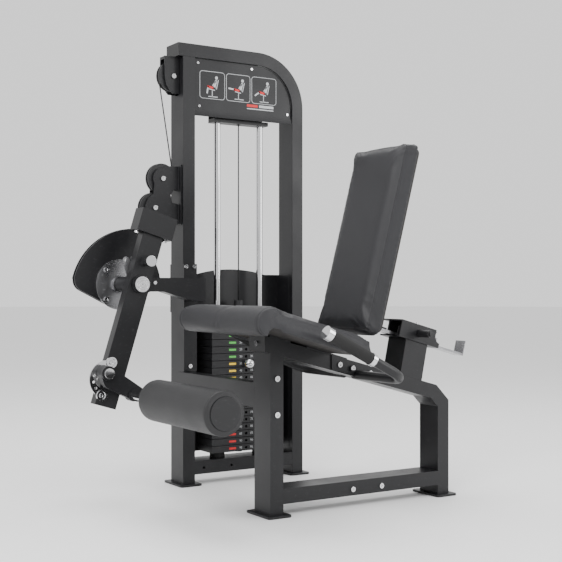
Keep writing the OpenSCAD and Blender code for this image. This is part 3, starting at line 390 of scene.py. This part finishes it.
def tube_mesh(paths, radius, closed=False, resolution=8):
    """A mesh of round tubes along lists of row frame points."""
    curve = bpy.data.curves.new("path", "CURVE")
    curve.dimensions = "3D"
    curve.bevel_depth = radius
    curve.bevel_resolution = resolution
    curve.use_fill_caps = not closed
    for path in paths:
        spline = curve.splines.new("POLY")
        spline.points.add(len(path) - 1)
        for point, place in zip(spline.points, path):
            point.co = (*place, 1)
        spline.use_cyclic_u = closed
    holder = bpy.data.objects.new("path", curve)
    bpy.context.scene.collection.objects.link(holder)
    bpy.context.view_layer.update()
    mesh = bpy.data.meshes.new_from_object(holder)
    bpy.data.objects.remove(holder)
    bm = bmesh.new()
    bm.from_mesh(mesh)
    bpy.data.meshes.remove(mesh)
    bmesh.ops.remove_doubles(bm, verts=bm.verts, dist=1e-6)
    bmesh.ops.recalc_face_normals(bm, faces=bm.faces)
    return bm


def text_mesh(words, size, place):
    """Flat raised text that faces the front, centred on a row frame point."""
    data = bpy.data.curves.new("text", "FONT")
    data.body = words
    data.size = size
    data.align_x = "CENTER"
    data.align_y = "CENTER"
    data.extrude = 0.0001
    data.resolution_u = 2
    holder = bpy.data.objects.new("text", data)
    bpy.context.scene.collection.objects.link(holder)
    bpy.context.view_layer.update()
    mesh = bpy.data.meshes.new_from_object(holder)
    bpy.data.objects.remove(holder)
    mesh.transform(Matrix.Translation(place) @ Matrix.Rotation(math.pi / 2, 4, "X"))
    return mesh


def joined(parts):
    """One bmesh of several bmeshes or meshes."""
    bm = bmesh.new()
    for part in parts:
        if isinstance(part, bmesh.types.BMesh):
            mesh = bpy.data.meshes.new("part")
            part.to_mesh(mesh)
            part.free()
        else:
            mesh = part
        bm.from_mesh(mesh)
        bpy.data.meshes.remove(mesh)
    return bm


# ---- cushions ----


LAST_FRAME = 20
CLOTH = {
    "quality": 4,
    "mass": 0.2,
    "tension_stiffness": 12,
    "compression_stiffness": 12,
    "shear_stiffness": 6,
    "bending_stiffness": 0.4,
    "use_pressure": True,
    "vertex_group_mass": "held",
}


def swell(piece, pinned, cap):
    """Inflates a cushion with the cloth simulation and leaves the result in its mesh."""
    group = piece.vertex_groups.new(name="held")
    held = [v.index for v in piece.data.vertices if pinned(v.co)]
    group.add(held, 1.0, "REPLACE")
    start = [v.co.copy() for v in piece.data.vertices]
    cloth = piece.modifiers.new("Cloth", "CLOTH")
    for setting, value in CLOTH.items():
        setattr(cloth.settings, setting, value)
    cloth.settings.uniform_pressure_force = sizes().pressure
    cloth.settings.effector_weights.gravity = 0
    cloth.collision_settings.use_collision = False
    cloth.point_cache.frame_start = 1
    cloth.point_cache.frame_end = LAST_FRAME
    scene = bpy.context.scene
    for frame in range(1, LAST_FRAME + 1):
        scene.frame_set(frame)
    graph = bpy.context.evaluated_depsgraph_get()
    made = piece.evaluated_get(graph).to_mesh()
    moved = [v.co.copy() for v in made.vertices]
    piece.evaluated_get(graph).to_mesh_clear()
    piece.modifiers.remove(cloth)
    scene.frame_set(1)
    for vertex, old, new in zip(piece.data.vertices, start, moved):
        step = new - old
        if step.length > 1e-9:
            step *= cap * math.tanh(step.length / cap) / step.length
        vertex.co = old + step
    piece.vertex_groups.clear()


def relax(bm, times):
    """Evens out the steps that remeshing leaves."""
    for _ in range(times):
        bmesh.ops.smooth_vert(
            bm, verts=bm.verts, factor=0.5, use_axis_x=True, use_axis_y=True, use_axis_z=True
        )


def soft_piece(name, node, material, pinned, cap, voxel):
    """A cushion in the space of its CAD solid, remeshed, shrunk by the inset and inflated;
    finish_soft subdivides it.
    """
    bm = merged_copy(node)
    piece = new_piece(name, bm, material, None, smooth=180)
    remesh = piece.modifiers.new("Remesh", "REMESH")
    remesh.mode = "VOXEL"
    remesh.voxel_size = voxel
    graph = bpy.context.evaluated_depsgraph_get()
    mesh = bpy.data.meshes.new_from_object(piece.evaluated_get(graph))
    piece.modifiers.remove(remesh)
    piece.data = mesh
    inset = sizes().inset
    bm = bmesh.new()
    bm.from_mesh(mesh)
    relax(bm, 4)
    bm.normal_update()
    for vertex in bm.verts:
        if not pinned(vertex.co):
            vertex.co -= vertex.normal * inset
    bm.to_mesh(mesh)
    bm.free()
    swell(piece, pinned, cap)
    bm = bmesh.new()
    bm.from_mesh(piece.data)
    relax(bm, 2)
    bm.to_mesh(piece.data)
    bm.free()
    return piece


def finish_soft(piece, body, node):
    divide = piece.modifiers.new("Subdivision", "SUBSURF")
    divide.levels = 1
    divide.render_levels = 1
    graph = bpy.context.evaluated_depsgraph_get()
    mesh = bpy.data.meshes.new_from_object(piece.evaluated_get(graph))
    piece.modifiers.remove(divide)
    piece.data = mesh
    for face in mesh.polygons:
        face.use_smooth = True
    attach(piece, body)
    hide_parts(node)


def groove(piece, point, normal, width, depth):
    """Draws the surface in along the cut of a plane, as a sewn seam does."""
    bm = bmesh.new()
    bm.from_mesh(piece.data)
    bm.normal_update()
    for vertex in bm.verts:
        away = (vertex.co - point).dot(normal) / width
        if abs(away) < 3:
            vertex.co -= vertex.normal * depth * math.exp(-away * away)
    bm.to_mesh(piece.data)
    bm.free()


def seam_paths(piece, point, normal, keep):
    """Ordered loops where a plane cuts a cushion."""
    bm = bmesh.new()
    bm.from_mesh(piece.data)
    cut = bmesh.ops.bisect_plane(
        bm, geom=bm.verts[:] + bm.edges[:] + bm.faces[:], dist=1e-6, plane_co=point,
        plane_no=normal,
    )["geom_cut"]
    bm.edges.index_update()
    edges = {e for e in cut if isinstance(e, bmesh.types.BMEdge)}
    paths = []
    while edges:
        first = min(edges, key=lambda edge: edge.index)
        edges.discard(first)
        path = [first.verts[0], first.verts[1]]
        growing = True
        while growing:
            growing = False
            for edge in path[-1].link_edges:
                if edge in edges:
                    edges.discard(edge)
                    path.append(edge.other_vert(path[-1]))
                    growing = True
                    break
        points = [v.co.copy() for v in path[:-1]]
        if len(points) > keep:
            paths.append(points)
    bm.free()
    return paths


# ---- operators ----

# How much of the metal's edge rounding a small screw gets
SCREW_SHARE = 0.4


class LEGMACHINE_OT_metal(bpy.types.Operator):
    """Give every hard part rounded edges and its finish"""

    bl_idname = "leg_machine.metal"
    bl_label = "Hard parts"

    def execute(self, context):
        for node, shell in NODES.items():
            if node in SPECIAL_NODES:
                continue
            share = SCREW_SHARE if node.endswith("_bolts") else 1
            bm = rounded_copy(node, sizes().edge * share)
            piece = new_piece("finished_" + node, bm, SLOT_OF[node], shell["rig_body"])
            weigh = piece.modifiers.new("Flat faces", "WEIGHTED_NORMAL")
            weigh.keep_sharp = True
            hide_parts(node)
        return {"FINISHED"}


class LEGMACHINE_OT_cables(bpy.types.Operator):
    """Give the lifting cable its coated finish"""

    bl_idname = "leg_machine.cables"
    bl_label = "Cables"

    def execute(self, context):
        for node in ("upper_cable", "cam_cable"):
            bm = merged_copy(node)
            piece = new_piece("coated_" + node, bm, "cable", NODES[node]["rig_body"], smooth=50)
            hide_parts(node)
        return {"FINISHED"}


HANDLE_R = 0.016
HANDLE_OUT = 315
HANDLE_X = 331
GRIP_HEAD = (27.6, 601.8)
GRIP_TAIL = (201.6, 513.3)
HANDLE_BEND = 70
FLANGE_OUT = 31


class LEGMACHINE_OT_handles(bpy.types.Operator):
    """Build the bent hand bars with their ribbed rubber grips"""

    bl_idname = "leg_machine.handles"
    bl_label = "Handles"

    def execute(self, context):
        fall = math.atan2(GRIP_HEAD[1] - GRIP_TAIL[1], GRIP_TAIL[0] - GRIP_HEAD[0])
        along = Vector((math.cos(fall), 0, -math.sin(fall)))
        reach = (HANDLE_X - GRIP_HEAD[0]) / math.cos(fall)
        paths = []
        grips = []
        for side in (-1, 1):
            out = Vector((0, side, 0))
            middle = Vector((0, SEAT_MID_Y, 0))
            head = Vector((GRIP_HEAD[0], 0, GRIP_HEAD[1])) + middle + out * HANDLE_OUT
            corner = head + along * reach
            bend = corner - out * HANDLE_BEND - along * HANDLE_BEND
            path = [corner - out * (HANDLE_OUT - FLANGE_OUT)]
            for step in range(13):
                turn = math.radians(90 * step / 12)
                path.append(
                    bend + along * HANDLE_BEND * math.cos(turn)
                    + out * HANDLE_BEND * math.sin(turn)
                )
            path.append(head)
            paths.append([plan(*p) for p in path])
            grips.append(self.grip(plan(*head), plan(*(head + along * 100))))
        bars = tube_mesh(paths, HANDLE_R, resolution=10)
        flanges = merged_copy("handles")
        mid = plan(0, SEAT_MID_Y, 0)
        for side in (-1, 1):
            cut = mid + Vector((0, side * (FLANGE_OUT + 0.3) / 1000, 0))
            made = bmesh.ops.bisect_plane(
                flanges, geom=flanges.verts[:] + flanges.edges[:] + flanges.faces[:], dist=1e-6,
                plane_co=cut, plane_no=(0, side, 0), clear_outer=True,
            )["geom_cut"]
            bmesh.ops.holes_fill(
                flanges, edges=[e for e in made if isinstance(e, bmesh.types.BMEdge)], sides=0
            )
        round_edges(flanges, sizes().edge)
        piece = new_piece("hand_bars", joined([bars, flanges]), "frame_paint", "frame", 40)
        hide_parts("handles")
        piece = new_piece("ribbed_grips", joined(grips), "rubber", "frame", 50)
        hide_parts("grips")
        return {"FINISHED"}

    def grip(self, start, ahead):
        """A rubber sleeve with a ring of ribs along the bar."""
        full = math.dist(GRIP_HEAD, GRIP_TAIL) / 1000 - 0.020
        outline = [(0.0161, 0.008), (0.0185, 0.008), (0.0195, 0.010)]
        ribs = 26
        pitch = (full - 0.020) / ribs
        for i in range(ribs):
            z = 0.010 + i * pitch
            outline += [(0.0195, z + pitch * 0.5), (0.0187, z + pitch * 0.6)]
            outline += [(0.0187, z + pitch * 0.85), (0.0195, z + pitch * 0.97)]
        outline += [(0.0195, full - 0.003), (0.0185, full - 0.001), (0.0161, full - 0.001)]
        outline.append(outline[0])
        return lathe(outline, aim(start, ahead))


SEAT_ORIGIN = (-121.7, SEAT_MID_Y, 680)
SEAT_TILT = 16
SEAT_SEAM_OUT = 0.248
SEAT_FLOOR = -0.036
SEAT_HELD_FROM = 0.03
BACK_ORIGIN = (284, SEAT_MID_Y, 594)
BACK_LEAN = 15
BACK_SEAM_DEEP = 0.016
BACK_HELD = 0.050
ROLLER_HELD = 0.056
SEAM_WIDTH = 0.004
SHORTEST_SEAM = 40


def local(place, origin, degrees):
    """A row frame point in a cushion's own tilted axes."""
    return Matrix.Rotation(math.radians(-degrees), 3, "Y") @ (place - origin)


class LEGMACHINE_OT_seat(bpy.types.Operator):
    """Sew the seat cushion with its front roll"""

    bl_idname = "leg_machine.seat"
    bl_label = "Seat cushion"

    def execute(self, context):
        origin = plan(*SEAT_ORIGIN)

        def held(co):
            place = local(co, origin, SEAT_TILT)
            return place.z < SEAT_FLOOR and place.x > SEAT_HELD_FROM

        piece = soft_piece(
            "seat_cushion", "seat_pad", "vinyl", held, sizes().seat_swell,
            sizes().voxel,
        )
        paths = []
        for side in (-1, 1):
            point = origin + Vector((0, side * SEAT_SEAM_OUT, 0))
            groove(piece, point, Vector((0, side, 0)), SEAM_WIDTH, 0.0022)
            paths += seam_paths(piece, point, Vector((0, side, 0)), SHORTEST_SEAM)
        finish_soft(piece, "frame", "seat_pad")
        piping = new_piece(
            "seat_piping", tube_mesh(paths, sizes().seam, closed=True, resolution=3), "vinyl",
            "frame", 60,
        )
        return {"FINISHED"}


class LEGMACHINE_OT_backrest(bpy.types.Operator):
    """Sew the backrest cushion with piping round its face"""

    bl_idname = "leg_machine.backrest"
    bl_label = "Backrest cushion"

    def execute(self, context):
        origin = plan(*BACK_ORIGIN)
        face = Matrix.Rotation(math.radians(BACK_LEAN), 3, "Y") @ Vector((-1, 0, 0))

        def held(co):
            return local(co, origin, BACK_LEAN).x > BACK_HELD

        piece = soft_piece(
            "backrest_cushion", "backrest_pad", "vinyl", held,
            sizes().back_swell, sizes().voxel,
        )
        point = origin - face * BACK_SEAM_DEEP
        groove(piece, point, face, SEAM_WIDTH, 0.0025)
        paths = seam_paths(piece, point, face, SHORTEST_SEAM)
        finish_soft(piece, "backrest", "backrest_pad")
        piping = new_piece(
            "backrest_piping", tube_mesh(paths, sizes().seam, closed=True, resolution=3),
            "vinyl", "backrest", 60,
        )
        return {"FINISHED"}


class LEGMACHINE_OT_roller(bpy.types.Operator):
    """Shape the foam shin roller"""

    bl_idname = "leg_machine.roller"
    bl_label = "Shin roller"

    def execute(self, context):
        low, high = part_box("roller_foam")
        axis_x = (low[0] + high[0]) / 2
        axis_z = (low[2] + high[2]) / 2

        def held(co):
            return math.hypot(co.x - axis_x, co.z - axis_z) < ROLLER_HELD

        piece = soft_piece(
            "foam_roller", "roller_foam", "foam_skin", held,
            sizes().roller_swell, sizes().voxel * 0.75,
        )
        finish_soft(piece, "roller", "roller_foam")
        return {"FINISHED"}


SIGN_FRONT = 8
SIGN_FRAMES = ((74, 183), (189, 296), (302, 415))
SIGN_LOW = 1461
SIGN_HIGH = 1566


def front_plate(x0, x1, z0, z1, front, thick, radius):
    """A thin plate that faces the front, in plan millimetres."""
    return block(plan(x0, front - thick, z0), plan(x1, front, z1), radius / 1000)


def stroke(a, b, width, front):
    """A rounded stroke between two plan points (x, z) on a face."""
    start, end = Vector(a), Vector(b)
    reach = (end - start).length
    far = Vector((reach / 2 + width / 2, 0.25, width / 2))
    bm = block(-far, far, width * 0.48)
    angle = math.atan2(end[1] - start[1], end[0] - start[0])
    middle = (start + end) / 2
    bmesh.ops.rotate(bm, matrix=Matrix.Rotation(-angle, 3, "Y"), verts=bm.verts)
    bmesh.ops.scale(bm, vec=(0.001, 0.001, 0.001), verts=bm.verts)
    bmesh.ops.translate(bm, vec=plan(middle[0], front, middle[1]), verts=bm.verts)
    return bm


class LEGMACHINE_OT_sign(bpy.types.Operator):
    """Print three plain exercise pictures on the top panel"""

    bl_idname = "leg_machine.sign"
    bl_label = "Top panel pictures"

    def execute(self, context):
        grey = []
        dark = []
        red = []
        face = SIGN_FRONT
        for index, (x0, x1) in enumerate(SIGN_FRAMES):
            grey.append(front_plate(x0, x1, SIGN_LOW, SIGN_HIGH, face + 0.1, 0.5, 12))
            dark.append(
                front_plate(x0 + 2, x1 - 2, SIGN_LOW + 2, SIGN_HIGH - 2, face + 0.1, 0.8, 10)
            )
            self.figure(grey, red, x0 + 54, SIGN_LOW + 50, index, face - 0.8)
        grey.append(front_plate(281, 402, 1437, 1441, face + 0.1, 0.5, 1.5))
        red.append(front_plate(281, 330, 1446, 1456, face + 0.1, 0.5, 2))
        grey.append(front_plate(336, 402, 1446, 1456, face + 0.1, 0.5, 2))
        for name, parts, material in (
            ("sign_marks", grey, "mark"),
            ("sign_fields", dark, "frame_paint"),
            ("sign_accents", red, "accent"),
        ):
            new_piece(name, joined(parts), material, "frame", 40)
        return {"FINISHED"}

    def figure(self, grey, red, x, z, index, front):
        """A seated figure whose shins rise from one picture to the next."""
        rise = (-80, 5, -35)[index]
        hip = (x + 8, z - 8)
        knee = (x - 18, z - 4)
        turn = math.radians(rise)
        foot = (knee[0] - 24 * math.cos(turn), knee[1] + 24 * math.sin(turn))
        neck = (x + 16, z + 20)
        grey.append(stroke(hip, neck, 9, front))
        grey.append(stroke((neck[0] + 2, neck[1] + 12), (neck[0] + 2.5, neck[1] + 12), 12, front))
        grey.append(stroke(neck, (x + 2, z + 2), 4, front))
        grey.append(stroke((hip[0] + 2, hip[1] - 8), (knee[0] + 4, knee[1] - 8), 3, front))
        grey.append(stroke((hip[0] + 10, hip[1] - 2), (neck[0] + 10, neck[1] + 4), 3, front))
        grey.append(stroke((x, z - 16), (x, z - 40), 3, front))
        grey.append(stroke((x - 16, z - 41), (x + 22, z - 41), 3, front))
        grey.append(stroke(knee, foot, 6, front))
        red.append(stroke(hip, knee, 8, front))


PLATE_FRONT = -10
HOLE_X = 267.5
HOLE_LOW = 127.5
PLATE_PITCH = 27
LOWER_COUNT = 12
PLATE_COUNT = 19
RED_COUNT = 7
YELLOW_END = 13
BAR_X = (192, 222)
BAR_HALF = 4
NUMBER_OUT = 24
NUMBER_SIZE = 0.0125
WEIGHT_STEP = 5


class LEGMACHINE_OT_labels(bpy.types.Operator):
    """Label the weight plates with colour bars and running numbers"""

    bl_idname = "leg_machine.labels"
    bl_label = "Plate labels"

    def execute(self, context):
        groups = {}
        for i in range(PLATE_COUNT):
            body = "frame" if i < LOWER_COUNT else "stack"
            tone = "accent" if i < RED_COUNT else "yellow" if i < YELLOW_END else "green"
            z = HOLE_LOW + PLATE_PITCH * i
            bar = front_plate(*BAR_X, z - BAR_HALF, z + BAR_HALF, PLATE_FRONT + 0.05, 0.4, 1.5)
            groups.setdefault((body, tone), []).append(bar)
            number = str(WEIGHT_STEP * (PLATE_COUNT - i))
            for x in (HOLE_X - NUMBER_OUT, HOLE_X + NUMBER_OUT):
                place = plan(x, PLATE_FRONT - 0.1, z)
                groups.setdefault((body, "mark"), []).append(text_mesh(number, NUMBER_SIZE, place))
        for (body, tone), parts in groups.items():
            new_piece(f"labels_{tone}_{body}", joined(parts), tone, body, 40)
        return {"FINISHED"}


CAMERA_PLACE = (-2.0559, -3.2151, 0.7426)
CAMERA_HEADING = 32.25
LENS = 69.43
SENSOR = 36
SHIFT_UP = 0.0122
LIGHTS = (
    ("key", (-3.2, -2.6, 3.4), 2.2, 190),
    ("fill", (3.2, -3.0, 2.0), 2.4, 90),
    ("top", (0.2, 0.6, 4.2), 2.6, 120),
)


def soft_light(name, place, target, size, watts):
    """A square area light that faces a point."""
    data = bpy.data.lights.new(name, "AREA")
    data.size = size
    data.energy = watts
    lamp = bpy.data.objects.new(name, data)
    lamp.location = place
    lamp.rotation_euler = (Vector(target) - Vector(place)).to_track_quat("-Z", "Y").to_euler()
    bpy.context.scene.collection.objects.link(lamp)
    return lamp


class LEGMACHINE_OT_stage(bpy.types.Operator):
    """Set the floor, the lights and the camera"""

    bl_idname = "leg_machine.stage"
    bl_label = "Stage"

    def execute(self, context):
        bm = bmesh.new()
        bmesh.ops.create_circle(bm, cap_ends=True, segments=96, radius=40)
        floor = new_piece("floor", bm, "floor", None)
        world = bpy.data.worlds.new("studio")
        world.use_nodes = True
        back = world.node_tree.nodes["Background"]
        back.inputs["Color"].default_value = (1, 1, 1, 1)
        back.inputs["Strength"].default_value = 1.2
        context.scene.world = world
        middle = (0, 0, 0.8)
        lamps = [
            soft_light(name, place, middle, size, watts) for name, place, size, watts in LIGHTS
        ]
        data = bpy.data.cameras.new("camera")
        data.lens = LENS
        data.sensor_width = SENSOR
        data.shift_y = SHIFT_UP
        camera = bpy.data.objects.new("camera", data)
        camera.location = CAMERA_PLACE
        camera.rotation_euler = (math.radians(90), 0, math.radians(-CAMERA_HEADING))
        context.scene.collection.objects.link(camera)
        context.scene.camera = camera
        return {"FINISHED"}


OPERATORS = (
    LEGMACHINE_OT_metal,
    LEGMACHINE_OT_cables,
    LEGMACHINE_OT_handles,
    LEGMACHINE_OT_seat,
    LEGMACHINE_OT_backrest,
    LEGMACHINE_OT_roller,
    LEGMACHINE_OT_sign,
    LEGMACHINE_OT_labels,
    LEGMACHINE_OT_stage,
)


class LEGMACHINE_PT_panel(bpy.types.Panel):
    """The steps that finish the machine"""

    bl_idname = "LEGMACHINE_PT_panel"
    bl_label = "Leg Machine"
    bl_space_type = "VIEW_3D"
    bl_region_type = "UI"
    bl_category = "Leg Machine"

    def draw(self, context):
        for operator in OPERATORS:
            self.layout.operator(operator.bl_idname, text=operator.bl_label)
        for group in (colours(), sizes()):
            for name in group.bl_rna.properties.keys():
                if name not in ("rna_type", "name"):
                    self.layout.prop(group, name)


CLASSES = (LEGMACHINE_PG_colours, LEGMACHINE_PG_sizes, *OPERATORS, LEGMACHINE_PT_panel)


def register():
    for cls in CLASSES:
        bpy.utils.register_class(cls)
    bpy.types.Scene.leg_machine_colours = bpy.props.PointerProperty(type=LEGMACHINE_PG_colours)
    bpy.types.Scene.leg_machine_sizes = bpy.props.PointerProperty(type=LEGMACHINE_PG_sizes)


def unregister():
    del bpy.types.Scene.leg_machine_colours
    del bpy.types.Scene.leg_machine_sizes
    for cls in reversed(CLASSES):
        bpy.utils.unregister_class(cls)


def main():
    register()
    for operator in OPERATORS:
        group, name = operator.bl_idname.split(".")
        getattr(getattr(bpy.ops, group), name)()


if __name__ == "__main__":
    main()
